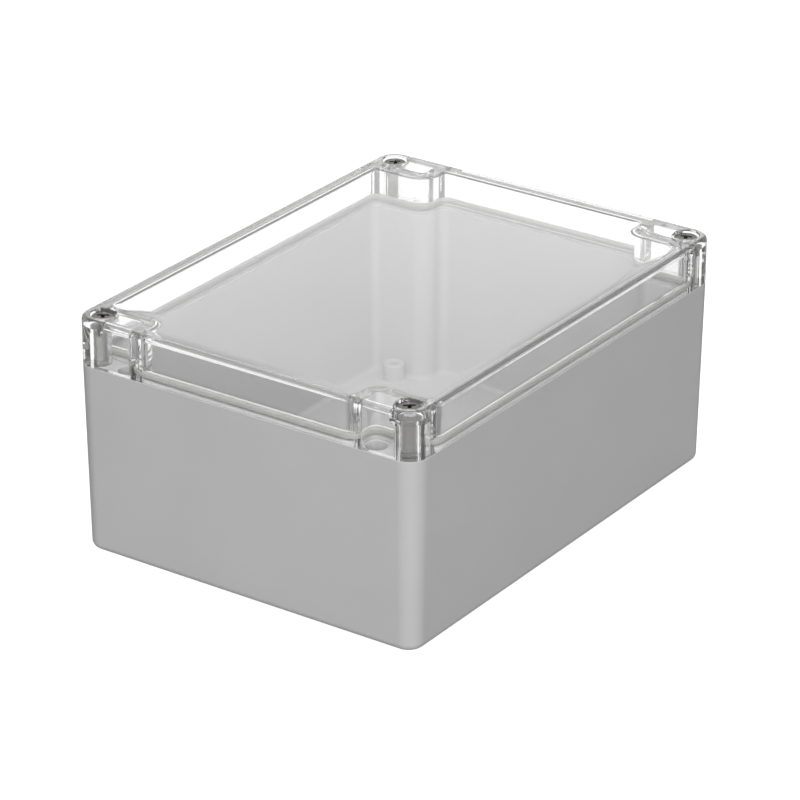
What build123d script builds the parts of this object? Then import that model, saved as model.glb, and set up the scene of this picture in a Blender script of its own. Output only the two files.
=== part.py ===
from build123d import *
import math
import os

# Clear-lid instrument enclosure, in millimetres. +X runs along the long side, +Y along the
# short side and +Z up. The origin is the centre of the underside.

# Outer form
box_length = 160.0
box_width = 120.0
base_height = 60.0
lid_height = 15.0
corner_radius = 6.3
base_draft_inset = 1.0
base_foot_fillet = 2.3
lid_edge_fillet = 1.5

# Walls
wall = 3.2
floor_thickness = 3.0
plate_thickness = 2.4
lid_inner_chamfer = 1.2
pocket_end_radius = 0.8

# Corner columns, one in each corner, with the lid screw and the wall-fixing hole outside the seal
column_width = 9.9
column_length = 19.6
column_nose_radius = 5.5
column_root_radius = 3.0
column_side_radius = 2.6

# Rim and seal
tongue_thickness = 1.2
tongue_height = 1.0
tongue_inner_ledge = 0.8
tongue_clearance = 0.1
groove_height = 3.85
seal_clearance = 0.1
lid_seat_gap = 0.05

# Lid screws and what holds them
screw_inset = 6.3
screw_diameter = 4.0
screw_length = 20.0
screw_head_diameter = 7.0
screw_head_height = 3.0
recess_width = 1.1
recess_span = 4.0
recess_depth = 1.6
head_clearance = 0.3
head_recess_depth = 3.5
head_boss_wall = 0.8
shank_clearance = 0.25
sleeve_wall = 0.8
sleeve_rib_thickness = 1.2
web_thickness = 1.6
ring_outer_diameter = 4.8
ring_thickness = 1.0
ring_bore_clearance = 0.05
ring_running_clearance = 0.1
ring_lift = 8.6

# Hexagonal threaded inserts moulded into the columns
insert_across_flats = 5.6
insert_length = 8.0
insert_bore_clearance = 0.08
insert_sink = 0.2
insert_hole_spare = 6.0

# Wall-fixing holes through the columns, wide enough for the fixing screw's head down to a seat
fixing_hole_diameter = 4.0
fixing_head_hole_diameter = 6.4
fixing_seat_height = 5.0
fixing_hole_inset_x = 6.55
fixing_hole_inset_y = 16.3

# Circuit board bosses on the floor
boss_diameter = 6.8
boss_height = 6.0
boss_hole_diameter = 3.0
boss_hole_depth = 6.5
boss_inset_x = 17.0
boss_inset_y = 13.5

# Heights and places that follow from the sizes above
seam_z = base_height
top_z = base_height + lid_height
plate_under_z = top_z - plate_thickness
lid_foot_z = seam_z + lid_seat_gap
groove_roof_z = seam_z + groove_height
head_seat_z = top_z - head_recess_depth
sleeve_web_z = head_seat_z - web_thickness
inner_length = box_length - 2 * wall
inner_width = box_width - 2 * wall
screw_x = box_length / 2 - screw_inset
screw_y = box_width / 2 - screw_inset
fixing_x = box_length / 2 - fixing_hole_inset_x
fixing_y = box_width / 2 - fixing_hole_inset_y
boss_x = box_length / 2 - boss_inset_x
boss_y = box_width / 2 - boss_inset_y
tongue_outer_offset = tongue_inner_ledge + tongue_thickness
sleeve_bore = ring_outer_diameter + 2 * ring_running_clearance
sleeve_diameter = sleeve_bore + 2 * sleeve_wall
head_hole_diameter = screw_head_diameter + 2 * head_clearance
head_boss_diameter = head_hole_diameter + 2 * head_boss_wall
seal_wall_outer_x = inner_length / 2 - column_width + wall
ring_z = sleeve_web_z - ring_lift - ring_thickness
insert_top_z = seam_z - insert_sink

CORNERS = {
    "front_left": (-1, -1),
    "front_right": (1, -1),
    "rear_right": (1, 1),
    "rear_left": (-1, 1),
}


def corner_points(x, y):
    """The same place in each of the four corners."""
    return [(sx * x, sy * y) for sx, sy in CORNERS.values()]


def outer_profile():
    return RectangleRounded(box_length, box_width, corner_radius)


def vertices_at(profile, x, y):
    """The corners of a profile that lie at one place and its three mirror images."""
    return [v for v in profile.vertices() if abs(abs(v.X) - x) < 0.01 and abs(abs(v.Y) - y) < 0.01]


def cavity_profile(offset_out=0.0):
    """The inside of the walls, stepped in round the four columns, or that outline moved outwards."""
    profile = Rectangle(inner_length, inner_width)
    block_x = inner_length / 2 - column_width / 2
    block_y = inner_width / 2 - column_length / 2
    for x, y in corner_points(block_x, block_y):
        profile -= Pos(x, y) * Rectangle(column_width, column_length)
    nose_x = inner_length / 2 - column_width
    nose_y = inner_width / 2 - column_length
    profile = fillet(vertices_at(profile, nose_x, nose_y), column_nose_radius)
    profile = fillet(vertices_at(profile, inner_length / 2, nose_y), column_root_radius)
    profile = fillet(vertices_at(profile, nose_x, inner_width / 2), column_side_radius)
    if offset_out:
        profile = offset(profile, amount=offset_out, kind=Kind.ARC)
    return profile


def pocket_profile():
    """The four spaces in the lid between its skirt and the sealing wall."""
    skirt_x = box_length / 2 - wall
    pockets = offset(outer_profile(), amount=-wall) - cavity_profile(wall)
    on_short_skirt = [v for v in pockets.vertices() if abs(abs(v.X) - skirt_x) < 0.01]
    end_y = min(abs(v.Y) for v in on_short_skirt)
    return fillet(vertices_at(pockets, skirt_x, end_y), pocket_end_radius)


def seal_band(inner_offset, outer_offset, bottom_z, height):
    """A band that follows the cavity all the way round, between two distances from its wall."""
    band = cavity_profile(outer_offset) - cavity_profile(inner_offset)
    return extrude(Pos(0, 0, bottom_z) * band, amount=height)


def make_base():
    taper = math.degrees(math.atan(base_draft_inset / base_height))
    base = extrude(Pos(0, 0, seam_z) * outer_profile(), amount=-base_height, taper=taper)
    foot_edges = base.edges().group_by(Axis.Z)[0]
    base = fillet(foot_edges, base_foot_fillet)

    base -= extrude(Pos(0, 0, seam_z) * cavity_profile(), amount=floor_thickness - base_height)
    base += seal_band(tongue_inner_ledge, tongue_outer_offset, seam_z, tongue_height)

    boss = Pos(0, 0, floor_thickness) * extrude(Circle(boss_diameter / 2), amount=boss_height)
    for x, y in corner_points(boss_x, boss_y):
        base += Pos(x, y) * boss
    boss_top_z = floor_thickness + boss_height
    for x, y in corner_points(boss_x, boss_y):
        base -= Pos(x, y, boss_top_z - boss_hole_depth) * extrude(
            Circle(boss_hole_diameter / 2), amount=boss_hole_depth)
    insert_hole_depth = insert_sink + insert_length + insert_hole_spare
    for x, y in corner_points(screw_x, screw_y):
        base -= Pos(x, y, seam_z - insert_hole_depth) * extrude(
            insert_hexagon(), amount=insert_hole_depth)
    for x, y in corner_points(fixing_x, fixing_y):
        base -= Pos(x, y) * extrude(Circle(fixing_hole_diameter / 2), amount=base_height)
        base -= Pos(x, y, fixing_seat_height) * extrude(
            Circle(fixing_head_hole_diameter / 2), amount=base_height)
    return base


def make_lid():
    lid = extrude(Pos(0, 0, lid_foot_z) * outer_profile(), amount=top_z - lid_foot_z)
    lid = fillet(lid.edges().group_by(Axis.Z)[-1], lid_edge_fillet)

    hollow_height = plate_under_z - lid_foot_z
    hollow = extrude(Pos(0, 0, lid_foot_z) * cavity_profile(), amount=hollow_height)
    hollow = chamfer(hollow.edges().group_by(Axis.Z)[-1], lid_inner_chamfer)
    lid -= hollow

    lid -= extrude(Pos(0, 0, lid_foot_z) * pocket_profile(), amount=hollow_height)
    sleeve = extrude(Circle(sleeve_diameter / 2), amount=hollow_height)
    head_boss = extrude(Circle(head_boss_diameter / 2), amount=plate_under_z - sleeve_web_z)
    rib_length = screw_x - seal_wall_outer_x
    rib = extrude(Rectangle(rib_length, sleeve_rib_thickness), amount=hollow_height)
    for x, y in corner_points(screw_x, screw_y):
        lid += Pos(x, y, lid_foot_z) * sleeve
        lid += Pos(x, y, sleeve_web_z) * head_boss
    for x, y in corner_points(seal_wall_outer_x + rib_length / 2, screw_y):
        lid += Pos(x, y, lid_foot_z) * rib

    groove_inner = tongue_inner_ledge - tongue_clearance
    groove_outer = tongue_outer_offset + tongue_clearance
    lid -= seal_band(groove_inner, groove_outer, lid_foot_z, groove_roof_z - lid_foot_z)

    head_hole = extrude(Circle(head_hole_diameter / 2), amount=head_recess_depth)
    shank_hole = extrude(Circle(screw_diameter / 2 + shank_clearance), amount=-web_thickness)
    ring_bore = extrude(Circle(sleeve_bore / 2), amount=sleeve_web_z - lid_foot_z)
    for x, y in corner_points(screw_x, screw_y):
        lid -= Pos(x, y, head_seat_z) * (head_hole + shank_hole)
        lid -= Pos(x, y, lid_foot_z) * ring_bore
    return lid


def make_gasket():
    bottom_z = seam_z + tongue_height + seal_clearance
    return seal_band(tongue_inner_ledge - tongue_clearance, tongue_outer_offset + tongue_clearance,
                     bottom_z, groove_roof_z - bottom_z)


def make_screw():
    """A cross-recessed screw standing on its head seat, with its axis on Z."""
    head = extrude(Circle(screw_head_diameter / 2), amount=screw_head_height)
    shank = extrude(Circle(screw_diameter / 2), amount=-screw_length)
    floor_z = screw_head_height - recess_depth
    cross = Rectangle(recess_span, recess_width) + Rectangle(recess_width, recess_span)
    return head + shank - extrude(Pos(0, 0, floor_z) * cross, amount=recess_depth)


def make_ring():
    """A push-on ring that grips the screw and keeps it in the lid."""
    bore = screw_diameter / 2 + ring_bore_clearance
    return extrude(Circle(ring_outer_diameter / 2) - Circle(bore), amount=ring_thickness)


def insert_hexagon():
    return RegularPolygon(insert_across_flats / 2, 6, major_radius=False)


def make_insert():
    """A threaded brass bush, its top at zero."""
    bore = screw_diameter / 2 + insert_bore_clearance
    return extrude(insert_hexagon() - Circle(bore), amount=-insert_length)


def main():
    os.makedirs("parts", exist_ok=True)
    nodes = {"base": make_base(), "lid": make_lid(), "gasket": make_gasket()}
    screw = make_screw()
    ring = make_ring()
    insert = make_insert()
    for corner, (sx, sy) in CORNERS.items():
        x, y = sx * screw_x, sy * screw_y
        nodes["lid_screw_" + corner] = Pos(x, y, head_seat_z) * screw
        nodes["retaining_ring_" + corner] = Pos(x, y, ring_z) * ring
        nodes["threaded_insert_" + corner] = Pos(x, y, insert_top_z) * insert
    for name, shape in nodes.items():
        export_step(shape, "parts/" + name + ".step")


main()
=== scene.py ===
import logging
import math
from abc import ABC, abstractmethod
from dataclasses import dataclass, field
from enum import Enum
from typing import Sequence

import bpy
from mathutils import Matrix, Vector


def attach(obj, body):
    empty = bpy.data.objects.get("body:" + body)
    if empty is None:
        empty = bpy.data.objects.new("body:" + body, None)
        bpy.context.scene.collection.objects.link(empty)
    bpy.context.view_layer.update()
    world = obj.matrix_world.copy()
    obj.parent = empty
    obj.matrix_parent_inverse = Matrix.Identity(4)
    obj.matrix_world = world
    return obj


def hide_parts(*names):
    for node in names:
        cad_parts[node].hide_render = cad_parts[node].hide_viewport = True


# A sealed electronics box: a grey moulded base, a clear moulded lid, its gasket, and four captive lid
# screws with their retaining rings and brass inserts. Sizes are in millimetres, and meshes in metres.

MM = 0.001
SHARP_ANGLE = math.radians(32)
LEAST_RADIUS = 0.05  # of an outline's corner, so that its points stay apart
LOG = logging.getLogger("enclosure")

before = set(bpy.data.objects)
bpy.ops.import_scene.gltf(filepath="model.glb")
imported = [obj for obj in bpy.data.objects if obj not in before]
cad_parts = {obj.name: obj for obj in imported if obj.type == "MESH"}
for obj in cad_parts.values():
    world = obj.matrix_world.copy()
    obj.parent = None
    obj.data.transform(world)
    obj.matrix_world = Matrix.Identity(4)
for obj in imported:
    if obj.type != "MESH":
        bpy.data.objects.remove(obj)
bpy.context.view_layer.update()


class Corner(Enum):
    """The four corners, by the side of the box that each is on along X and Y."""

    FRONT_LEFT = (-1, -1)
    FRONT_RIGHT = (1, -1)
    REAR_RIGHT = (1, 1)
    REAR_LEFT = (-1, 1)

    @property
    def label(self) -> str:
        """The corner's name as the frame's nodes and bodies spell it."""
        return self.name.lower()

    def at(self, x: float, y: float) -> tuple[float, float]:
        """The place in this corner that lies x and y from the box's centre."""
        return self.value[0] * x, self.value[1] * y


class Cut(Enum):
    """What one closed mesh does to another."""

    REMOVE = "DIFFERENCE"
    JOIN = "UNION"


Loop = list[Vector]
Levels = Sequence[tuple[float, float]]
Piece = bpy.types.Object
Material = bpy.types.Material
Tree = bpy.types.NodeTree
Socket = bpy.types.NodeSocket
Value = float | Socket


@dataclass(frozen=True)
class Outline:
    """A closed outline of straight sides along X and Y, anticlockwise from above, with rounded corners."""

    corners: tuple[tuple[float, float, float], ...]

    def _around(self, index: int) -> tuple[Vector, Vector, Vector, float]:
        """The corner's place, the directions into it and out of it, and its radius."""
        here = Vector(self.corners[index][:2])
        before = Vector(self.corners[index - 1][:2])
        after = Vector(self.corners[(index + 1) % len(self.corners)][:2])
        return here, (here - before).normalized(), (after - here).normalized(), self.corners[index][2]

    def moved_out(self, distance: float) -> "Outline":
        """The outline at an even distance outside this one.

        Args:
            distance: How far out, in millimetres; inwards when negative.

        Returns:
            The new outline, with as many corners.
        """
        moved = []
        for index in range(len(self.corners)):
            here, way_in, way_out, radius = self._around(index)
            turns_left = way_in.x * way_out.y - way_in.y * way_out.x > 0
            place = here + distance * (Vector((way_in.y, -way_in.x)) + Vector((way_out.y, -way_out.x)))
            rounded = radius + distance if turns_left else radius - distance
            moved.append((place.x, place.y, max(rounded, LEAST_RADIUS)))
        return Outline(tuple(moved))

    def loop(self, z: float, steps: int) -> Loop:
        """The outline as points at one height.

        Args:
            z: The height in millimetres.
            steps: How many sides each rounded corner gets.

        Returns:
            The points in metres.
        """
        points = []
        for index in range(len(self.corners)):
            here, way_in, way_out, radius = self._around(index)
            centre = here + (way_out - way_in) * radius
            for step in range(steps + 1):
                angle = math.pi / 2 * step / steps
                place = centre + radius * (way_in * math.sin(angle) - way_out * math.cos(angle))
                points.append(Vector((place.x, place.y, z)) * MM)
        return points


def mirrored(corner_points: Sequence[tuple[float, float, float]]) -> Outline:
    """An outline from its points in the rear right corner, repeated in the other three.

    Args:
        corner_points: Places and radii of one corner, anticlockwise.

    Returns:
        The whole outline.
    """
    forward = list(corner_points)
    back = forward[::-1]
    quarters = ((1, 1, forward), (-1, 1, back), (-1, -1, forward), (1, -1, back))
    return Outline(tuple((sx * x, sy * y, r) for sx, sy, points in quarters for x, y, r in points))


def circle(place: tuple[float, float], radius: float, z: float, sides: int) -> Loop:
    """A ring of points.

    Args:
        place: The centre in millimetres.
        radius: The radius in millimetres.
        z: The height in millimetres.
        sides: How many points.

    Returns:
        The points in metres.
    """
    turns = [2 * math.pi * side / sides for side in range(sides)]
    return [Vector((place[0] + radius * math.cos(t), place[1] + radius * math.sin(t), z)) * MM for t in turns]


def new_piece(name: str, points: Sequence[Sequence[float]], edges: Sequence[tuple[int, ...]] = (),
              faces: Sequence[tuple[int, ...]] = ()) -> Piece:
    """A mesh object in the scene, its points in metres."""
    mesh = bpy.data.meshes.new(name)
    mesh.from_pydata([tuple(p) for p in points], list(edges), list(faces))
    piece = bpy.data.objects.new(name, mesh)
    bpy.context.scene.collection.objects.link(piece)
    return piece


@dataclass
class Shell:
    """A closed mesh that grows loop by loop."""

    points: list[Vector] = field(default_factory=list)
    faces: list[tuple[int, ...]] = field(default_factory=list)

    def loft(self, loops: Sequence[Loop], ring: bool = False) -> "Shell":
        """Adds a closed body through loops that all have as many points.

        Args:
            loops: The loops, lowest first, each anticlockwise from above.
            ring: True for a band that closes on itself, False for a body with two flat ends.

        Returns:
            This shell.
        """
        start, count = len(self.points), len(loops[0])
        for loop in loops:
            self.points += loop
        pairs = len(loops) if ring else len(loops) - 1
        for level in range(pairs):
            low = start + level * count
            high = start + (level + 1) % len(loops) * count
            for side in range(count):
                after = (side + 1) % count
                self.faces.append((low + side, low + after, high + after, high + side))
        if not ring:
            last = start + (len(loops) - 1) * count
            self.faces.append(tuple(range(start + count - 1, start - 1, -1)))
            self.faces.append(tuple(range(last, last + count)))
        return self

    def follow(self, outline: Outline, levels: Levels, steps: int, ring: bool = False) -> "Shell":
        """Adds a body along an outline, given by how far outside it lies at each height."""
        return self.loft([outline.moved_out(offset).loop(z, steps) for offset, z in levels], ring)

    def turn(self, places: Sequence[tuple[float, float]], levels: Levels, sides: int) -> "Shell":
        """Adds a round body about each of several upright axes, given by its radius at each height."""
        for place in places:
            self.loft([circle(place, radius, z, sides) for radius, z in levels])
        return self

    def made(self, name: str) -> Piece:
        """The shell as a mesh object in the scene."""
        piece = new_piece(name, self.points, faces=self.faces)
        piece.data.validate()
        return piece


def baked(piece: Piece) -> Piece:
    """Makes what a piece's modifiers give its plain mesh, and takes the modifiers off."""
    graph = bpy.context.evaluated_depsgraph_get()
    result = bpy.data.meshes.new_from_object(piece.evaluated_get(graph), depsgraph=graph)
    piece.modifiers.clear()
    piece.data = result
    result.name = piece.name
    return piece


def cut(body: Piece, tool: Piece, how: Cut) -> Piece:
    """Joins a closed mesh to another or removes it, and deletes the tool.

    Args:
        body: The mesh that changes.
        tool: The mesh that shapes it.
        how: Whether it is joined or removed.

    Returns:
        The changed body.
    """
    modifier = body.modifiers.new("cut", "BOOLEAN")
    modifier.operation = how.value
    modifier.solver = "EXACT"
    modifier.object = tool
    baked(body)
    bpy.data.objects.remove(tool)
    return body


def shaded(piece: Piece) -> Piece:
    """Shades a piece smooth, except along its sharp edges, with flat faces kept flat."""
    piece.data.shade_smooth()
    piece.data.set_sharp_from_angle(angle=SHARP_ANGLE)
    modifier = piece.modifiers.new("normals", "WEIGHTED_NORMAL")
    modifier.keep_sharp = True
    modifier.weight = 100
    return baked(piece)


def linear(colour: str) -> tuple[float, float, float, float]:
    """Turns an sRGB hex colour into the linear one that a shader takes."""
    shares = [int(colour[i:i + 2], 16) / 255 for i in (1, 3, 5)]
    return tuple(s / 12.92 if s <= 0.04045 else ((s + 0.055) / 1.055) ** 2.4 for s in shares) + (1.0,)


def add_node(tree: Tree, kind: str, settings: dict | None = None,
             inputs: dict | None = None) -> bpy.types.Node:
    """Adds one node to a tree.

    Args:
        tree: The node tree.
        kind: The node's type.
        settings: Values of its own properties.
        inputs: Values or sockets for its inputs, by name or place.

    Returns:
        The node.
    """
    node = tree.nodes.new(kind)
    for name, value in (settings or {}).items():
        setattr(node, name, value)
    for name, value in (inputs or {}).items():
        if isinstance(value, Socket):
            tree.links.new(value, node.inputs[name])
        else:
            node.inputs[name].default_value = value
    return node


def new_material(name: str) -> tuple[Material, Tree, bpy.types.Node]:
    """A material with an empty tree but for its output, and that output."""
    material = bpy.data.materials.new(name)
    material.use_nodes = True
    tree = material.node_tree
    tree.nodes.clear()
    return material, tree, add_node(tree, "ShaderNodeOutputMaterial")


def maths(tree: Tree, operation: str, *values: Value, clamp: bool = False) -> Socket:
    """The result of a sum on numbers and sockets."""
    node = add_node(tree, "ShaderNodeMath", {"operation": operation, "use_clamp": clamp},
                    dict(enumerate(values)))
    return node.outputs[0]


def noise(tree: Tree, place: Socket, size_mm: float, detail: float) -> Socket:
    """The value of a noise.

    Args:
        tree: The material's tree.
        place: The coordinates that it is laid out on.
        size_mm: About how large its features are.
        detail: How much finer detail it has.

    Returns:
        The value's socket.
    """
    node = add_node(tree, "ShaderNodeTexNoise", None,
                    {"Vector": place, "Scale": 1 / (size_mm * MM), "Detail": detail})
    return node.outputs["Fac"]


def between(tree: Tree, share: Socket, ends: tuple[float, float]) -> Socket:
    """The value that lies a share of the way between two ends."""
    node = add_node(tree, "ShaderNodeMapRange", None, {"Value": share, "To Min": ends[0], "To Max": ends[1]})
    return node.outputs["Result"]


def eased(tree: Tree, value: Socket, starts: tuple[float, float],
          ends: tuple[float, float] = (0.0, 1.0)) -> Socket:
    """A value that passes smoothly from one end to the other while another one crosses a range."""
    node = add_node(tree, "ShaderNodeMapRange", {"interpolation_type": "SMOOTHSTEP"},
                    {"Value": value, "From Min": starts[0], "From Max": starts[1],
                     "To Min": ends[0], "To Max": ends[1]})
    return node.outputs["Result"]


def tinted(tree: Tree, share: Socket, first: str, last: str) -> Socket:
    """The colour that lies a share of the way between two sRGB hex colours."""
    node = add_node(tree, "ShaderNodeMix", {"data_type": "RGBA"},
                    {0: share, 6: linear(first), 7: linear(last)})
    return node.outputs[2]


def bumped(tree: Tree, height: Socket, strength: float, depth_mm: float) -> Socket:
    """The normal of a surface with a fine relief.

    Args:
        tree: The material's tree.
        height: The relief, from nought to one.
        strength: How much of it shows.
        depth_mm: How deep it is.

    Returns:
        The normal's socket.
    """
    node = add_node(tree, "ShaderNodeBump", None,
                    {"Height": height, "Strength": strength, "Distance": depth_mm * MM})
    return node.outputs["Normal"]


class Finish(ABC):
    """What a material looks like, as a procedural shader."""

    name: str

    @abstractmethod
    def surface(self, tree: Tree, place: Socket) -> bpy.types.Node:
        """The shader's last node, with its pattern laid out on the object's own coordinates."""

    def material(self) -> Material:
        """The finish as a material."""
        material, tree, out = new_material(self.name)
        place = add_node(tree, "ShaderNodeTexCoord").outputs["Object"]
        tree.links.new(self.surface(tree, place).outputs[0], out.inputs["Surface"])
        return material


@dataclass(frozen=True)
class MouldedPolycarbonate(Finish):
    """Light grey polycarbonate from a spark-eroded mould: even and matt, with a grain finer than sand."""

    name: str = "moulded_grey_polycarbonate"
    colour: str = "#ACACAC"
    shade: str = "#A5A5A5"
    grain_mm: float = 0.35
    grain_depth_mm: float = 0.012
    cloud_mm: float = 28.0
    roughness: tuple[float, float] = (0.46, 0.58)
    ior: float = 1.586

    def surface(self, tree: Tree, place: Socket) -> bpy.types.Node:
        cloud = noise(tree, place, self.cloud_mm, detail=3.0)
        grain = noise(tree, place, self.grain_mm, detail=2.0)
        return add_node(tree, "ShaderNodeBsdfPrincipled", None,
                        {"Base Color": tinted(tree, cloud, self.shade, self.colour),
                         "Roughness": between(tree, grain, self.roughness), "IOR": self.ior,
                         "Normal": bumped(tree, grain, 0.5, self.grain_depth_mm)})


@dataclass(frozen=True)
class ClearPolycarbonate(Finish):
    """Water-clear polycarbonate from a polished mould: glossy, with the faint waves of the melt's flow."""

    name: str = "clear_polycarbonate"
    colour: str = "#FDFDFD"
    lamp_share: str = "#EDEDED"
    clearness: float = 0.975
    wave_mm: float = 16.0
    wave_depth_mm: float = 0.010
    roughness: tuple[float, float] = (0.0, 0.03)
    ior: float = 1.586

    def surface(self, tree: Tree, place: Socket) -> bpy.types.Node:
        """Lamps shine through it, so that what it covers is lit."""
        wave = noise(tree, place, self.wave_mm, detail=1.0)
        glass = add_node(tree, "ShaderNodeBsdfPrincipled", None,
                         {"Base Color": linear(self.colour), "Roughness": between(tree, wave, self.roughness),
                          "IOR": self.ior, "Transmission Weight": self.clearness,
                          "Normal": bumped(tree, wave, 0.4, self.wave_depth_mm)})
        through = add_node(tree, "ShaderNodeBsdfTransparent", None, {"Color": linear(self.lamp_share)})
        path = add_node(tree, "ShaderNodeLightPath")
        return add_node(tree, "ShaderNodeMixShader", None,
                        {0: path.outputs["Is Shadow Ray"], 1: glass.outputs[0], 2: through.outputs[0]})


@dataclass(frozen=True)
class Silicone(Finish):
    """Grey moulded silicone rubber: soft and waxy, with a dusty bloom."""

    name: str = "silicone_rubber"
    colour: str = "#8C8C8A"
    bloom: str = "#989896"
    bloom_mm: float = 2.5
    bloom_depth_mm: float = 0.01
    waxiness: float = 0.15
    wax_depth_mm: float = 0.6
    roughness: float = 0.55
    ior: float = 1.41

    def surface(self, tree: Tree, place: Socket) -> bpy.types.Node:
        bloom = noise(tree, place, self.bloom_mm, detail=4.0)
        return add_node(tree, "ShaderNodeBsdfPrincipled", None,
                        {"Base Color": tinted(tree, bloom, self.colour, self.bloom),
                         "Roughness": self.roughness, "IOR": self.ior, "Subsurface Weight": self.waxiness,
                         "Subsurface Radius": (self.wax_depth_mm * MM,) * 3,
                         "Normal": bumped(tree, bloom, 0.3, self.bloom_depth_mm)})


@dataclass(frozen=True)
class TurnedMetal(Finish):
    """Machined metal with the fine rings that the tool leaves round its axis.

    A painted shade can darken the colour inside a recess of each of four mirrored parts, in place of the
    shade that falls in the recess. It stays within painted_shade_radius of the upright axis through
    painted_shade_axis, and painted_shade_z gives its lowest place, the highest at which it is still at its
    darkest, and its upper end.
    """

    name: str
    colour: str
    ring_mm: float
    ring_depth_mm: float
    roughness: tuple[float, float]
    # the painted shade's dark colour, and where it lies round each recess
    painted_shade: str = "#000000"
    painted_shade_axis: tuple[float, float] = (0.0, 0.0)
    painted_shade_radius: float = 0.0
    painted_shade_z: tuple[float, float, float] = (0.0, 0.0, 1.0)

    def surface(self, tree: Tree, place: Socket) -> bpy.types.Node:
        stretched = add_node(tree, "ShaderNodeMapping", None, {"Vector": place, "Scale": (0.15, 0.15, 1.0)})
        ring = noise(tree, stretched.outputs[0], self.ring_mm, detail=3.0)
        height = add_node(tree, "ShaderNodeSeparateXYZ", None, {0: place})
        # painted shade: near the axis and below the recess's top, the colour goes to the dark colour, darkest
        # low down and fading towards the top
        floor_z, dark_z, unshaded_z = (z * MM for z in self.painted_shade_z)
        unshaded = eased(tree, height.outputs["Z"], (dark_z, unshaded_z))
        above = maths(tree, "GREATER_THAN", height.outputs["Z"], floor_z)
        folded = add_node(tree, "ShaderNodeVectorMath", {"operation": "ABSOLUTE"}, {0: place})
        axis = (-self.painted_shade_axis[0] * MM, -self.painted_shade_axis[1] * MM, 0.0)
        off_axis = add_node(tree, "ShaderNodeVectorMath", {"operation": "MULTIPLY_ADD"},
                            {0: folded.outputs[0], 1: (1.0, 1.0, 0.0), 2: axis})
        distance = add_node(tree, "ShaderNodeVectorMath", {"operation": "LENGTH"}, {0: off_axis.outputs[0]})
        inside = maths(tree, "LESS_THAN", distance.outputs["Value"], self.painted_shade_radius * MM)
        share = maths(tree, "SUBTRACT", maths(tree, "MULTIPLY", above, inside), unshaded, clamp=True)
        return add_node(tree, "ShaderNodeBsdfPrincipled", None,
                        {"Base Color": tinted(tree, share, self.colour, self.painted_shade),
                         "Metallic": 1.0, "Roughness": between(tree, ring, self.roughness),
                         "Normal": bumped(tree, ring, 0.5, self.ring_depth_mm)})


# Painted shade: the colour inside each screw's driven recess is darkened, standing in for the shade that
# falls in it
STAINLESS = TurnedMetal("turned_stainless_steel", "#64635E", 0.12, 0.004, (0.30, 0.44),
                        painted_shade="#181715", painted_shade_axis=(73.7, 53.7), painted_shade_radius=2.5, painted_shade_z=(72.0, 73.6, 74.4))
BRASS = TurnedMetal("turned_brass", "#C9A45C", 0.10, 0.004, (0.25, 0.4))


@dataclass(frozen=True)
class Nylon(Finish):
    """Black moulded nylon: satin, with a faint fleck."""

    name: str = "black_nylon"
    colour: str = "#3C3C3C"
    fleck: str = "#444444"
    fleck_mm: float = 0.6
    roughness: float = 0.42
    ior: float = 1.53

    def surface(self, tree: Tree, place: Socket) -> bpy.types.Node:
        fleck = noise(tree, place, self.fleck_mm, detail=2.0)
        return add_node(tree, "ShaderNodeBsdfPrincipled", None,
                        {"Base Color": tinted(tree, fleck, self.colour, self.fleck),
                         "Roughness": self.roughness, "IOR": self.ior})


def dressed(piece: Piece, material: Material, body: str,
            nodes: Sequence[str]) -> Piece:
    """Gives a finished piece its material and its place in the frame.

    Args:
        piece: The piece.
        material: Its finish.
        body: The body that it rides on.
        nodes: The CAD nodes that it stands for.

    Returns:
        The piece.
    """
    piece.data.materials.clear()
    piece.data.materials.append(material)
    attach(piece, body)
    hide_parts(*nodes)
    LOG.info("%s: %d points, on %s", piece.name, len(piece.data.vertices), body)
    return piece


@dataclass(frozen=True)
class Plan:
    """The sizes that the base, the lid and the gasket share, all seen from above."""

    length: float = 160.0
    width: float = 120.0
    corner_radius: float = 6.3
    wall: float = 3.2
    column_width: float = 9.9
    column_length: float = 19.6
    column_nose_radius: float = 5.5
    column_root_radius: float = 3.0
    column_side_radius: float = 2.6
    seam_z: float = 60.0
    top_z: float = 75.0
    screw_inset: tuple[float, float] = (6.3, 6.3)
    fixing_inset: tuple[float, float] = (6.55, 16.3)
    boss_inset: tuple[float, float] = (17.0, 13.5)
    arc_steps: int = 16

    def outer(self) -> Outline:
        """The outside of the box."""
        return mirrored([(self.length / 2, self.width / 2, self.corner_radius)])

    def cavity(self) -> Outline:
        """The inside of the walls, stepped in round the columns."""
        x, y = self.length / 2 - self.wall, self.width / 2 - self.wall
        nose_x, nose_y = x - self.column_width, y - self.column_length
        return mirrored([(x, nose_y, self.column_root_radius), (nose_x, nose_y, self.column_nose_radius),
                         (nose_x, y, self.column_side_radius)])

    def axes(self, inset: tuple[float, float]) -> list[tuple[float, float]]:
        """The places that lie equally far in from both sides at each corner."""
        return [corner.at(self.length / 2 - inset[0], self.width / 2 - inset[1]) for corner in Corner]


def quarter(radius: float, steps: int) -> list[tuple[float, float]]:
    """The points of a quarter round, from its foot to its crown.

    Args:
        radius: The rounding's radius.
        steps: How many sides.

    Returns:
        Pairs of how far in from the side and how far up from the foot.
    """
    turns = [math.pi / 2 * step / steps for step in range(steps + 1)]
    return [(radius * (1 - math.cos(t)), radius * math.sin(t)) for t in turns]


def rounded_foot(radius: float, steps: int) -> list[tuple[float, float]]:
    """The points of a quarter round at the foot of a side, from its lowest point up to the side.

    Args:
        radius: The rounding's radius.
        steps: How many sides.

    Returns:
        Pairs of how far in from the side and how far up from the lowest point.
    """
    turns = [math.pi / 2 * step / steps for step in range(steps + 1)]
    return [(radius * (1 - math.sin(t)), radius * (1 - math.cos(t))) for t in turns]


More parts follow.
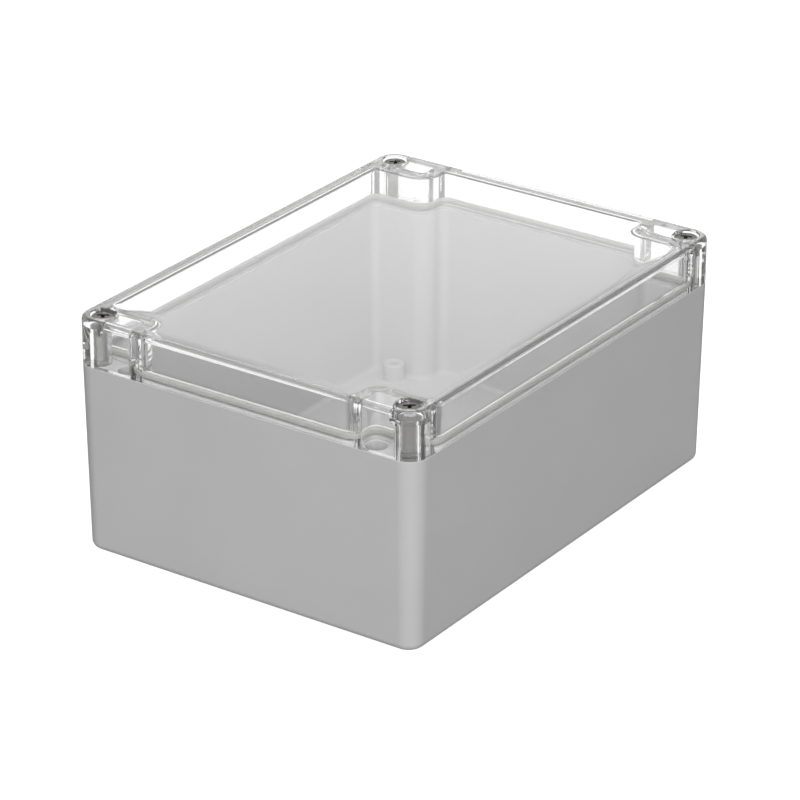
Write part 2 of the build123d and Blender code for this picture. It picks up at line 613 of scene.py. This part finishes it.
@dataclass
class Base:
    """The grey base, with its columns, floor, bosses, tongue and holes."""

    plan: Plan
    finish: MouldedPolycarbonate
    draft_inset: float = 1.0
    foot_radius: float = 2.3
    rim_radius: float = 0.2
    floor: float = 3.0
    floor_radius: float = 1.6
    tongue_offsets: tuple[float, float] = (0.8, 2.0)
    tongue_height: float = 1.0
    tongue_radius: float = 0.25
    boss_radius: float = 3.4
    boss_height: float = 6.0
    boss_foot_radius: float = 0.8
    boss_edge: float = 0.3
    boss_hole_radius: float = 1.5
    boss_hole_depth: float = 6.5
    insert_across_flats: float = 5.6
    insert_hole_depth: float = 14.2
    fixing_radius: float = 2.0
    fixing_head_radius: float = 3.2
    fixing_seat_z: float = 5.0
    hole_sides: int = 48
    past: float = 1.0

    def _outside(self) -> Shell:
        """The outside from its rounded foot to its rim, drafted outwards as it rises."""
        top = self.plan.seam_z
        rim = [(inset, top - self.rim_radius + rise) for inset, rise in quarter(self.rim_radius, steps=3)]
        levels = [(-self.draft_inset * (1 - z / top) - inset, z)
                  for inset, z in rounded_foot(self.foot_radius, steps=8) + rim]
        return Shell().follow(self.plan.outer(), levels, self.plan.arc_steps)

    def _hollow(self) -> Shell:
        """The space inside, rounded where it meets the floor, and the insert and wall-fixing holes."""
        top, past, flare = self.plan.seam_z, self.plan.seam_z + self.past, self.rim_radius
        levels = [(-inset, self.floor + rise) for inset, rise in rounded_foot(self.floor_radius, steps=6)]
        levels += [(0.0, top - flare), (flare, top), (flare, past)]
        shell = Shell().follow(self.plan.cavity(), levels, self.plan.arc_steps)
        hexagon = self.insert_across_flats / 2 / math.cos(math.pi / 6)
        insert_levels = [(hexagon, top - self.insert_hole_depth), (hexagon, past)]
        narrow, wide = self.fixing_radius, self.fixing_head_radius
        fixing_levels = [(narrow, -self.past), (narrow, self.fixing_seat_z), (wide, self.fixing_seat_z),
                         (wide, top - flare), (wide + flare, top), (wide + flare, past)]
        for screw, fixing in zip(self.plan.axes(self.plan.screw_inset),
                                 self.plan.axes(self.plan.fixing_inset)):
            shell.turn([screw], insert_levels, sides=6).turn([fixing], fixing_levels, self.hole_sides)
        return shell

    def _raised(self) -> Shell:
        """The tongue round the rim, and the board bosses."""
        top = self.plan.seam_z
        inner, outer = self.tongue_offsets
        round_off, crown = self.tongue_radius, top + self.tongue_height
        levels = [(outer, top - self.past), (outer, crown - round_off), (outer - round_off, crown),
                  (inner + round_off, crown), (inner, crown - round_off), (inner, top - self.past)]
        shell = Shell().follow(self.plan.cavity(), levels, self.plan.arc_steps, ring=True)
        rounded = [(self.boss_radius + inset, self.floor + self.boss_foot_radius - rise)
                   for inset, rise in reversed(quarter(self.boss_foot_radius, steps=6))]
        crown = self.floor + self.boss_height
        levels = [(rounded[0][0], self.floor - self.past)] + rounded
        levels += [(self.boss_radius, crown - self.boss_edge), (self.boss_radius - self.boss_edge, crown)]
        return shell.turn(self.plan.axes(self.plan.boss_inset), levels, self.hole_sides)

    def _boss_holes(self) -> Shell:
        """The hole in each board boss, with a chamfered mouth."""
        crown, bore = self.floor + self.boss_height, self.boss_hole_radius
        levels = [(bore, crown - self.boss_hole_depth), (bore, crown - self.boss_edge),
                  (bore + self.boss_edge, crown), (bore + self.boss_edge, crown + self.past)]
        return Shell().turn(self.plan.axes(self.plan.boss_inset), levels, self.hole_sides)

    def build(self) -> Piece:
        """Makes the base's mesh.

        Returns:
            The piece, not yet dressed.
        """
        body = self._outside().made("base_body")
        cut(body, self._hollow().made("hollow"), Cut.REMOVE)
        cut(body, self._raised().made("raised"), Cut.JOIN)
        cut(body, self._boss_holes().made("boss_holes"), Cut.REMOVE)
        return shaded(body)

    def dress(self, piece: Piece) -> None:
        """Gives the base its finish and its place in the frame."""
        dressed(piece, self.finish.material(), "base", ["base"])


@dataclass
class Lid:
    """The clear lid: plate, skirt, sealing wall, gasket groove, pockets, and sleeves for the screws."""

    plan: Plan
    finish: ClearPolycarbonate
    foot_z: float = 60.05
    foot_radius: float = 0.15
    edge_radius: float = 1.5
    ceiling_z: float = 73.0
    ceiling_reach: float = 3.0
    ceiling_drop: float = 0.8
    groove_offsets: tuple[float, float] = (0.7, 2.1)
    groove_roof_z: float = 63.85
    sealing_wall: float = 3.2
    pocket_roof_z: float = 72.6
    pocket_radius: float = 0.8
    pocket_side_radius: float = 1.1
    pocket_roof_radius: float = 0.8
    sleeve_radius: float = 3.3
    boss_round: float = 0.3
    rib_thickness: float = 1.2
    rib_edge: float = 0.1
    rib_overlap: float = 0.3
    head_radius: float = 3.8
    head_boss_radius: float = 4.6
    head_seat_z: float = 71.5
    shank_radius: float = 2.25
    web_under_z: float = 69.9
    bore_radius: float = 2.5
    seat_chamfer: float = 0.2
    mouth_chamfer: float = 0.25
    hole_sides: int = 64
    past: float = 1.0

    def _outside(self) -> Shell:
        """The outside from the skirt's foot to the plate."""
        edge_foot_z = self.plan.top_z - self.edge_radius
        levels = [(-inset, self.foot_z + rise) for inset, rise in rounded_foot(self.foot_radius, steps=2)]
        levels += [(-inset, edge_foot_z + rise) for inset, rise in quarter(self.edge_radius, steps=8)]
        return Shell().follow(self.plan.outer(), levels, self.plan.arc_steps)

    def _hollow(self) -> Shell:
        """The space under the plate, and the gasket groove."""
        cavity, steps, low = self.plan.cavity(), self.plan.arc_steps, self.foot_z - self.past
        levels = [(0.0, low)]
        levels += [(-inset * self.ceiling_reach, self.ceiling_z - (1 - rise) * self.ceiling_drop)
                   for inset, rise in quarter(1.0, steps=12)]
        inner, outer = self.groove_offsets
        band = [(outer, low), (outer, self.groove_roof_z), (inner, self.groove_roof_z), (inner, low)]
        return Shell().follow(cavity, levels, steps).follow(cavity, band, steps, ring=True)

    def _pocket(self, corner: Corner) -> Outline:
        """The space in one corner between the skirt and the sealing wall, with the sleeve still in it."""
        plan = self.plan
        wall_x = plan.length / 2 - plan.wall - plan.column_width + self.sealing_wall
        end_y = plan.width / 2 - plan.wall - plan.column_length + self.sealing_wall
        skirt_x, skirt_y = plan.length / 2 - plan.wall, plan.width / 2 - plan.wall
        places = [(wall_x, end_y, plan.column_nose_radius - self.sealing_wall),
                  (skirt_x, end_y, self.pocket_radius),
                  (skirt_x, skirt_y, plan.corner_radius - plan.wall),
                  (wall_x, skirt_y, self.pocket_side_radius)]
        sx, sy = corner.value
        placed = [(sx * x, sy * y, r) for x, y, r in places]
        return Outline(tuple(placed if sx * sy > 0 else placed[::-1]))

    def _pockets(self) -> Piece:
        """The four pockets as one cutting tool, without the sleeves and ribs that stand in them."""
        low, roof, screws = self.foot_z - self.past, self.pocket_roof_z, self.plan.axes(self.plan.screw_inset)
        levels = [(0.0, low)] + [(-inset, roof - self.pocket_roof_radius + rise)
                                 for inset, rise in quarter(self.pocket_roof_radius, steps=6)]
        pockets = Shell()
        for corner in Corner:
            pockets.follow(self._pocket(corner), levels, self.plan.arc_steps)
        under, edge = self.web_under_z, self.boss_round
        levels = [(self.sleeve_radius, low - self.past), (self.sleeve_radius, under - edge),
                  (self.head_boss_radius - edge, under), (self.head_boss_radius, under + edge),
                  (self.head_boss_radius, roof + self.past)]
        sleeves = Shell().turn(screws, levels, self.hole_sides)
        tool = cut(pockets.made("pockets"), sleeves.made("sleeves"), Cut.REMOVE)
        wall_x = self.plan.length / 2 - self.plan.wall - self.plan.column_width + self.sealing_wall
        ribs, half = Shell(), self.rib_thickness / 2
        for corner, (x, y) in zip(Corner, screws):
            sx = corner.value[0]
            low_x, high_x = sorted((sx * (wall_x - self.past),
                                    x - sx * (self.sleeve_radius - self.rib_overlap)))
            side = Outline(tuple((*place, self.rib_edge) for place in (
                (low_x, y - half), (high_x, y - half), (high_x, y + half), (low_x, y + half))))
            ribs.loft([side.loop(z, steps=3) for z in (low - self.past, roof + self.past)])
        return cut(tool, ribs.made("ribs"), Cut.REMOVE)

    def _screw_holes(self) -> Shell:
        """The head recess, the hole through the web and the sleeve's bore at each corner."""
        top, seat, head, mouth = self.plan.top_z, self.head_seat_z, self.head_radius, self.mouth_chamfer
        levels = [(self.bore_radius, self.foot_z - self.past), (self.bore_radius, self.web_under_z),
                  (self.shank_radius, self.web_under_z), (self.shank_radius, seat),
                  (head - self.seat_chamfer, seat), (head, seat + self.seat_chamfer),
                  (head, top - mouth), (head + mouth, top), (head + mouth, top + self.past)]
        return Shell().turn(self.plan.axes(self.plan.screw_inset), levels, self.hole_sides)

    def build(self) -> Piece:
        """Makes the lid's mesh.

        Returns:
            The piece, not yet dressed.
        """
        body = self._outside().made("lid_body")
        cut(body, self._hollow().made("hollow"), Cut.REMOVE)
        cut(body, self._pockets(), Cut.REMOVE)
        cut(body, self._screw_holes().made("screw_holes"), Cut.REMOVE)
        return shaded(body)

    def dress(self, piece: Piece) -> None:
        """Gives the lid its finish and its place in the frame."""
        dressed(piece, self.finish.material(), "lid", ["lid"])


class GeometryTree:
    """A Geometry Nodes tree with named inputs, made once and used by several pieces."""

    def __init__(self, name: str, inputs: Sequence[tuple[str, str]]) -> None:
        """Makes the tree with its geometry in and out and its named inputs.

        Args:
            name: The tree's name.
            inputs: Each input's name and socket type.
        """
        self.tree = bpy.data.node_groups.new(name, "GeometryNodeTree")
        sockets = self.tree.interface
        sockets.new_socket("Geometry", in_out="INPUT", socket_type="NodeSocketGeometry")
        sockets.new_socket("Geometry", in_out="OUTPUT", socket_type="NodeSocketGeometry")
        for label, kind in inputs:
            sockets.new_socket(label, in_out="INPUT", socket_type=kind)
        self.entry = add_node(self.tree, "NodeGroupInput")
        self.exit = add_node(self.tree, "NodeGroupOutput")

    def value(self, name: str) -> Socket:
        """The socket that gives one of the tree's inputs."""
        return self.entry.outputs[name]

    def node(self, kind: str, settings: dict | None = None, inputs: dict | None = None) -> bpy.types.Node:
        """Adds a node to this tree."""
        return add_node(self.tree, kind, settings, inputs)

    def maths(self, operation: str, *values: Value) -> Socket:
        """The result of a sum on numbers and fields."""
        return maths(self.tree, operation, *values)

    def finish(self, geometry: Socket, material: Material) -> None:
        """Ends the tree: copies made real, and the material set."""
        real = self.node("GeometryNodeRealizeInstances", None, {"Geometry": geometry})
        painted = self.node("GeometryNodeSetMaterial", None,
                            {"Geometry": real.outputs[0], "Material": material})
        self.tree.links.new(painted.outputs[0], self.exit.inputs["Geometry"])

    def applied(self, piece: Piece, values: dict[str, object]) -> Piece:
        """Runs the tree on a piece and leaves the result as its plain mesh.

        Args:
            piece: The piece that carries the tree's starting geometry.
            values: The inputs by name.

        Returns:
            The piece.
        """
        modifier = piece.modifiers.new("shape", "NODES")
        modifier.node_group = self.tree
        for item in self.tree.interface.items_tree:
            if item.item_type == "SOCKET" and item.in_out == "INPUT" and item.name in values:
                modifier[item.identifier] = values[item.name]
        return baked(piece)


@dataclass
class Gasket:
    """The one-piece silicone gasket that fills the lid's groove, swept along the seal's path."""

    plan: Plan
    finish: Silicone
    offsets: tuple[float, float] = (0.7, 2.1)
    bottom_z: float = 61.1
    top_z: float = 63.85
    edge_radius: float = 0.3
    slack: float = 0.02
    path_steps: int = 12

    def build(self) -> Piece:
        """Makes the gasket's mesh.

        Returns:
            The piece, not yet dressed.
        """
        tree = GeometryTree("gasket_sweep", (("Width", "NodeSocketFloat"), ("Height", "NodeSocketFloat"),
                                             ("Edge Radius", "NodeSocketFloat")))
        path = tree.node("GeometryNodeMeshToCurve", None, {"Mesh": tree.value("Geometry")})
        upright = tree.node("GeometryNodeSetCurveNormal", {"mode": "Z_UP"}, {"Curve": path.outputs[0]})
        block = tree.node("GeometryNodeCurvePrimitiveQuadrilateral", None,
                          {"Width": tree.value("Height"), "Height": tree.value("Width")})
        rounded = tree.node("GeometryNodeFilletCurve", {"mode": "POLY"},
                            {"Curve": block.outputs[0], "Radius": tree.value("Edge Radius"), "Count": 4})
        swept = tree.node("GeometryNodeCurveToMesh", None,
                          {"Curve": upright.outputs[0], "Profile Curve": rounded.outputs[0]})
        tree.finish(swept.outputs[0], self.finish.material())
        middle = sum(self.offsets) / 2
        height = self.top_z - self.bottom_z
        line = self.plan.cavity().moved_out(middle).loop(self.bottom_z + height / 2, self.path_steps)
        count = len(line)
        piece = new_piece("gasket_ring", line, edges=[(i, (i + 1) % count) for i in range(count)])
        width = self.offsets[1] - self.offsets[0]
        tree.applied(piece, {"Width": (width - self.slack) * MM, "Height": (height - self.slack) * MM,
                             "Edge Radius": self.edge_radius * MM})
        return shaded(piece)

    def dress(self, piece: Piece) -> None:
        """Gives the gasket its place in the frame."""
        dressed(piece, piece.data.materials[0], "lid", ["gasket"])


@dataclass(frozen=True)
class Rung:
    """One ring of a turned part's profile."""

    radius: float
    z: float
    thread: float = 0.0
    hexagon: float = 0.0


@dataclass
class TurnedPart:
    """Parts that are round about an upright axis, spun from a profile: screws, rings and inserts."""

    name: str
    material: Material
    sides: int = 48
    pitch: float = 0.7
    thread_depth: float = 0.38
    recess_span: float = 0.0
    recess_width: float = 0.0
    recess_depth: float = 0.0
    recess_top_z: float = 0.0
    recess_taper: float = 0.5
    recess_past: float = 1.0
    tree: GeometryTree = field(init=False)

    def __post_init__(self) -> None:
        """Builds the spinning tree, which each copy then uses."""
        self.tree = GeometryTree(self.name + "_tree", (
            ("Sides", "NodeSocketInt"), ("Rungs", "NodeSocketInt"), ("Pitch", "NodeSocketFloat"),
            ("Thread Depth", "NodeSocketFloat"), ("Place", "NodeSocketVector"), ("Turn", "NodeSocketFloat")))
        spun = self._spun()
        if self.recess_span:
            spun = self._recessed(spun)
        turned = self.tree.node("ShaderNodeCombineXYZ", None, {2: self.tree.value("Turn")})
        placed = self.tree.node("GeometryNodeTransform", None,
                                {"Geometry": spun, "Translation": self.tree.value("Place"),
                                 "Rotation": turned.outputs[0]})
        self.tree.finish(placed.outputs[0], self.material)

    def _spun(self) -> Socket:
        """A grid bent round the axis, each row at one rung's radius and height."""
        t = self.tree
        columns = t.maths("ADD", t.value("Sides"), 1.0)
        grid = t.node("GeometryNodeMeshGrid", None, {"Vertices X": columns, "Vertices Y": t.value("Rungs")})
        index = t.node("GeometryNodeInputIndex").outputs[0]
        row = t.maths("FLOORED_MODULO", index, t.value("Rungs"))
        column = t.maths("FLOOR", t.maths("DIVIDE", t.maths("ADD", index, 0.5), t.value("Rungs")))
        angle = t.maths("MULTIPLY", t.maths("DIVIDE", column, t.value("Sides")), 2 * math.pi)

        def sampled(kind: str, attribute: str | None) -> Socket:
            """A profile value at this row."""
            if attribute is None:
                value = t.node("GeometryNodeInputPosition").outputs[0]
            else:
                value = t.node("GeometryNodeInputNamedAttribute", {"data_type": kind},
                               {"Name": attribute}).outputs["Attribute"]
            node = t.node("GeometryNodeSampleIndex", {"data_type": kind, "domain": "POINT"},
                          {"Geometry": t.value("Geometry"), "Value": value, "Index": row})
            return node.outputs[0]

        rung = t.node("ShaderNodeSeparateXYZ", None, {0: sampled("FLOAT_VECTOR", None)})
        thread, hexagon = sampled("FLOAT", "thread"), sampled("FLOAT", "hexagon")
        phase = t.maths("SUBTRACT", t.maths("DIVIDE", rung.outputs[2], t.value("Pitch")),
                        t.maths("DIVIDE", angle, 2 * math.pi))
        groove = t.maths("PINGPONG", t.maths("MULTIPLY", phase, 2.0), 1.0)
        depth = t.maths("MULTIPLY", t.maths("MULTIPLY", groove, thread), t.value("Thread Depth"))
        within = t.maths("SUBTRACT", t.maths("FLOORED_MODULO", angle, math.pi / 3), math.pi / 6)
        flat = t.maths("DIVIDE", 1.0, t.maths("COSINE", within))
        swell = t.maths("MULTIPLY_ADD", t.maths("SUBTRACT", flat, 1.0), hexagon, 1.0)
        radius = t.maths("SUBTRACT", t.maths("MULTIPLY", rung.outputs[0], swell), depth)
        place = t.node("ShaderNodeCombineXYZ", None,
                       {0: t.maths("MULTIPLY", radius, t.maths("COSINE", angle)),
                        1: t.maths("MULTIPLY", radius, t.maths("SINE", angle)), 2: rung.outputs[2]})
        bent = t.node("GeometryNodeSetPosition", None,
                      {"Geometry": grid.outputs[0], "Position": place.outputs[0]})
        merged = t.node("GeometryNodeMergeByDistance", None,
                        {"Geometry": bent.outputs[0], "Distance": 0.001 * MM})
        return merged.outputs[0]

    def _recessed(self, body: Socket) -> Socket:
        """The body with a tapered cross cut into its top."""
        t = self.tree
        bars = []
        height = (self.recess_depth + self.recess_past) * MM
        centre_z = (self.recess_top_z - self.recess_depth) * MM + height / 2
        for turn in (0.0, math.pi / 2):
            bar = t.node("GeometryNodeMeshCube", None,
                         {"Size": (self.recess_span * MM, self.recess_width * MM, height)})
            place = t.node("GeometryNodeInputPosition").outputs[0]
            parts = t.node("ShaderNodeSeparateXYZ", None, {0: place})
            # full size at the bar's top, and less by the taper at its foot
            share = t.maths("MULTIPLY_ADD", t.maths("DIVIDE", parts.outputs[2], height), self.recess_taper,
                            1.0 - self.recess_taper / 2)
            tapered = t.node("ShaderNodeCombineXYZ", None,
                             {0: t.maths("MULTIPLY", parts.outputs[0], share),
                              1: t.maths("MULTIPLY", parts.outputs[1], share), 2: parts.outputs[2]})
            shaped = t.node("GeometryNodeSetPosition", None,
                            {"Geometry": bar.outputs[0], "Position": tapered.outputs[0]})
            moved = t.node("GeometryNodeTransform", None,
                           {"Geometry": shaped.outputs[0], "Translation": (0.0, 0.0, centre_z),
                            "Rotation": (0.0, 0.0, turn)})
            bars.append(moved.outputs[0])
        cutter = t.node("GeometryNodeMeshBoolean", {"operation": "UNION", "solver": "EXACT"},
                        {"Mesh 2": bars[0]})
        t.tree.links.new(bars[1], cutter.inputs["Mesh 2"])
        carved = t.node("GeometryNodeMeshBoolean", {"operation": "DIFFERENCE", "solver": "EXACT"},
                        {"Mesh 1": body, "Mesh 2": cutter.outputs[0]})
        return carved.outputs[0]

    def make(self, name: str, rungs: Sequence[Rung], place: tuple[float, float, float],
             turn: float = 0.0) -> Piece:
        """Makes one copy.

        Args:
            name: The piece's name.
            rungs: The profile, from the top of the axis round to its foot.
            place: Where its zero lies, in millimetres.
            turn: How far it is turned, in radians.

        Returns:
            The piece, not yet dressed.
        """
        piece = new_piece(name, [(r.radius * MM, 0.0, r.z * MM) for r in rungs],
                          edges=[(i, i + 1) for i in range(len(rungs) - 1)])
        for label in ("thread", "hexagon"):
            attribute = piece.data.attributes.new(label, "FLOAT", "POINT")
            attribute.data.foreach_set("value", [getattr(r, label) for r in rungs])
        self.tree.applied(piece, {
            "Sides": self.sides, "Rungs": len(rungs), "Pitch": self.pitch * MM,
            "Thread Depth": self.thread_depth * MM, "Place": tuple(c * MM for c in place), "Turn": turn})
        return shaded(piece)


@dataclass
class LidScrews:
    """The four captive screws, with a pan head, a cross recess, and a thread below a plain neck."""

    plan: Plan
    finish: TurnedMetal
    seat_z: float = 71.5
    head_radius: float = 3.5
    head_height: float = 3.0
    head_edge: float = 0.5
    head_foot_edge: float = 0.15
    dome: float = 0.245
    shank_radius: float = 2.0
    length: float = 20.0
    plain_length: float = 10.0
    neck_length: float = 0.6
    tip_length: float = 0.8
    tip_inset: float = 0.6
    rungs_per_turn: int = 8
    pitch: float = 0.7
    recess_span: float = 4.4
    recess_width: float = 1.4
    recess_depth: float = 2.2
    turns: tuple[float, ...] = (0.70, 0.35, 0.80, 0.55)

    def profile(self) -> list[Rung]:
        """The screw's profile from the crown of its head to its tip."""
        rungs = [Rung(0.0, self.head_height)]
        for step in range(1, 7):
            share = step / 6
            reach = share * (self.head_radius - self.head_edge)
            rungs.append(Rung(reach, self.head_height - self.dome * share ** 2))
        crown = rungs[-1].z
        rungs += [Rung(self.head_radius - inset, crown - drop)
                  for inset, drop in rounded_foot(self.head_edge, steps=4)[1:]]
        rungs += [Rung(self.head_radius, self.head_foot_edge),
                  Rung(self.head_radius - self.head_foot_edge, 0.0), Rung(self.shank_radius, 0.0),
                  Rung(self.shank_radius, -self.plain_length + self.neck_length)]
        threaded = self.length - self.plain_length - self.tip_length
        count = int(threaded / self.pitch * self.rungs_per_turn)
        for step in range(count + 1):
            depth = min(1.0, step / self.rungs_per_turn)
            rungs.append(Rung(self.shank_radius, -self.plain_length - threaded * step / count, depth))
        rungs += [Rung(self.shank_radius - self.tip_inset, -self.length), Rung(0.0, -self.length)]
        return rungs

    def build(self) -> None:
        """Makes and dresses the four screws."""
        part = TurnedPart("lid_screw", self.finish.material(), sides=64, pitch=self.pitch,
                          recess_span=self.recess_span, recess_width=self.recess_width,
                          recess_depth=self.recess_depth, recess_top_z=self.head_height)
        for corner, turn, (x, y) in zip(Corner, self.turns, self.plan.axes(self.plan.screw_inset)):
            piece = part.make("screw_" + corner.label, self.profile(), (x, y, self.seat_z), turn)
            dressed(piece, part.material, "screw_" + corner.label,
                    ["lid_screw_" + corner.label])


@dataclass
class RetainingRings:
    """The push-on rings that keep the screws in the lid."""

    plan: Plan
    finish: Nylon
    z: float = 60.3
    thickness: float = 1.0
    outer_radius: float = 2.4
    bore_radius: float = 2.05
    edge: float = 0.12

    def build(self) -> None:
        """Makes and dresses the four rings."""
        part = TurnedPart("retaining_ring", self.finish.material(), sides=64)
        top, e = self.thickness, self.edge
        bore, outer = self.bore_radius, self.outer_radius
        profile = [Rung(bore, e), Rung(bore, top - e), Rung(bore + e, top), Rung(outer - e, top),
                   Rung(outer, top - e), Rung(outer, e), Rung(outer - e, 0.0), Rung(bore + e, 0.0),
                   Rung(bore, e)]
        for corner, (x, y) in zip(Corner, self.plan.axes(self.plan.screw_inset)):
            piece = part.make("ring_" + corner.label, profile, (x, y, self.z))
            dressed(piece, part.material, "ring_" + corner.label,
                    ["retaining_ring_" + corner.label])


@dataclass
class ThreadedInserts:
    """The hexagonal brass inserts that the lid screws turn into."""

    plan: Plan
    finish: TurnedMetal
    top_z: float = 59.8
    length: float = 8.0
    across_flats: float = 5.56
    bore_radius: float = 2.1
    edge: float = 0.3

    def build(self) -> None:
        """Makes and dresses the four inserts."""
        part = TurnedPart("threaded_insert", self.finish.material(), sides=48)
        bore, flat, e = self.bore_radius, self.across_flats / 2, self.edge
        profile = [Rung(bore, -self.length), Rung(bore, -e), Rung(bore + e, 0.0),
                   Rung(flat - e, 0.0, hexagon=1.0), Rung(flat, -e, hexagon=1.0),
                   Rung(flat, -self.length, hexagon=1.0), Rung(bore, -self.length)]
        for corner, (x, y) in zip(Corner, self.plan.axes(self.plan.screw_inset)):
            piece = part.make("insert_" + corner.label, profile, (x, y, self.top_z))
            dressed(piece, part.material, "base", ["threaded_insert_" + corner.label])


@dataclass(frozen=True)
class SoftLamp:
    """A square lamp that faces the box: where it hangs and its side in metres, and its power in watts."""

    name: str
    place: tuple[float, float, float]
    size: float
    power: float


@dataclass
class Studio:
    """A white room: a pale floor, a white surround, soft lamps, and the camera."""

    soft_lamps: tuple[SoftLamp, ...] = (SoftLamp("key_lamp", (-1.45, -1.13, 1.2), 2.2, 72.0),
                                        SoftLamp("top_lamp", (0.2, 0.3, 2.0), 1.6, 14.0),
                                        SoftLamp("rear_lamp", (1.86, 1.29, 1.05), 2.0, 6.0))
    surround_level: float = 0.12
    ceiling_level: float = 0.95
    ceiling_starts: tuple[float, float] = (0.6, 0.9)
    front_level: float = 0.35
    front_starts: tuple[float, float] = (0.2, 0.9)
    floor_size: float = 6.0
    floor_glow: float = 0.85
    floor_mirror_share: float = 0.1
    camera_place: tuple[float, float, float] = (-880.53, -609.45, 532.24)
    azimuth: float = 55.291
    elevation: float = 24.970
    roll: float = 0.127
    focal_pixels: float = 3938.0
    image_pixels: float = 800.0
    sensor_mm: float = 36.0

    def surround(self) -> None:
        """White to the camera, the room in mirrors and clear plastic, and a low level on what is matt."""
        world = bpy.data.worlds.new("surround")
        bpy.context.scene.world = world
        world.use_nodes = True
        tree = world.node_tree
        tree.nodes.clear()
        seen = self._seen(tree, self._room(tree))
        glow = add_node(tree, "ShaderNodeBackground", None,
                        {"Color": (1.0, 1.0, 1.0, 1.0),
                         "Strength": maths(tree, "MAXIMUM", seen, self.surround_level)})
        out = add_node(tree, "ShaderNodeOutputWorld")
        tree.links.new(glow.outputs[0], out.inputs["Surface"])

    def _room(self, tree: Tree) -> Socket:
        """How bright the room is in each direction: white, less so overhead and behind the camera."""
        where = add_node(tree, "ShaderNodeTexCoord").outputs["Generated"]
        height = add_node(tree, "ShaderNodeSeparateXYZ", None, {0: where})
        ceiling = eased(tree, height.outputs["Z"], self.ceiling_starts, (1.0, self.ceiling_level))
        side = add_node(tree, "ShaderNodeVectorMath", {"operation": "DOT_PRODUCT"},
                        {0: where, 1: Vector(self.camera_place).normalized()})
        front = eased(tree, side.outputs["Value"], self.front_starts, (1.0, self.front_level))
        return maths(tree, "MULTIPLY", ceiling, front)

    @staticmethod
    def _seen(tree: Tree, share: Value, clear_share: Value | None = None) -> Socket:
        """One on the camera's rays, and a share of that in a mirror and through clear plastic.

        Args:
            tree: The material's or the world's tree.
            share: How strongly a mirror shows it, as a number or a socket.
            clear_share: How strongly clear plastic shows it, if not as a mirror does.

        Returns:
            The socket with that value, nought on every other ray.
        """
        path = add_node(tree, "ShaderNodeLightPath")
        in_mirror = maths(tree, "MULTIPLY", path.outputs["Is Glossy Ray"], share)
        through = maths(tree, "MULTIPLY", path.outputs["Is Transmission Ray"],
                        share if clear_share is None else clear_share)
        return maths(tree, "MAXIMUM", path.outputs["Is Camera Ray"],
                     maths(tree, "MAXIMUM", in_mirror, through))

    def floor(self) -> None:
        """The matt floor, which glows to the camera, so that it looks white, and keeps the box's shadow."""
        half = self.floor_size / 2
        corners = [(x * half, y * half, 0.0) for x, y in ((-1, -1), (1, -1), (1, 1), (-1, 1))]
        piece = new_piece("floor", corners, faces=[(0, 1, 2, 3)])
        material, tree, out = new_material("matt_white_paint")
        paint = add_node(tree, "ShaderNodeBsdfDiffuse", None, {"Color": linear("#A6A6A6")})
        seen = self._seen(tree, self.floor_mirror_share, 1.0)
        glow = add_node(tree, "ShaderNodeEmission", None,
                        {"Strength": maths(tree, "MULTIPLY", seen, self.floor_glow)})
        both = add_node(tree, "ShaderNodeAddShader", None, {0: paint.outputs[0], 1: glow.outputs[0]})
        tree.links.new(both.outputs[0], out.inputs["Surface"])
        piece.data.materials.append(material)

    def lamps(self) -> None:
        """A large soft lamp by the camera, a weaker one above, and one behind for the glare on the lid."""
        for soft in self.soft_lamps:
            data = bpy.data.lights.new(soft.name, "AREA")
            data.size = soft.size
            data.energy = soft.power
            lamp = bpy.data.objects.new(soft.name, data)
            lamp.location = soft.place
            # its light already crosses the clear lid as shadow rays, so refracted rays don't count it twice
            lamp.visible_transmission = False
            lamp.rotation_euler = (-Vector(soft.place)).to_track_quat("-Z", "Y").to_euler()
            bpy.context.scene.collection.objects.link(lamp)

    def camera(self) -> None:
        """The camera, at the photograph's place and angle."""
        data = bpy.data.cameras.new("camera")
        data.sensor_width = self.sensor_mm
        data.lens = self.focal_pixels / self.image_pixels * self.sensor_mm
        data.clip_start = 0.05
        camera = bpy.data.objects.new("camera", data)
        azimuth, elevation = math.radians(self.azimuth), math.radians(self.elevation)
        turn = Matrix.Rotation(-azimuth, 4, "Z") @ Matrix.Rotation(math.pi / 2 - elevation, 4, "X")
        turn = turn @ Matrix.Rotation(math.radians(self.roll), 4, "Z")
        camera.matrix_world = Matrix.Translation(Vector(self.camera_place) * MM) @ turn
        bpy.context.scene.collection.objects.link(camera)
        bpy.context.scene.camera = camera

    def build(self) -> None:
        """Makes the whole studio."""
        bpy.context.scene.view_settings.view_transform = "Standard"
        self.surround()
        self.floor()
        self.lamps()
        self.camera()


def main() -> None:
    """Builds the box piece by piece, and the studio round it."""
    logging.basicConfig(level=logging.INFO, format="%(name)s: %(message)s")
    plan = Plan()
    Studio().build()
    for part in (Base(plan, MouldedPolycarbonate()), Lid(plan, ClearPolycarbonate()),
                 Gasket(plan, Silicone())):
        part.dress(part.build())
    for part in (LidScrews(plan, STAINLESS), RetainingRings(plan, Nylon()), ThreadedInserts(plan, BRASS)):
        part.build()


if __name__ == "__main__":
    main()
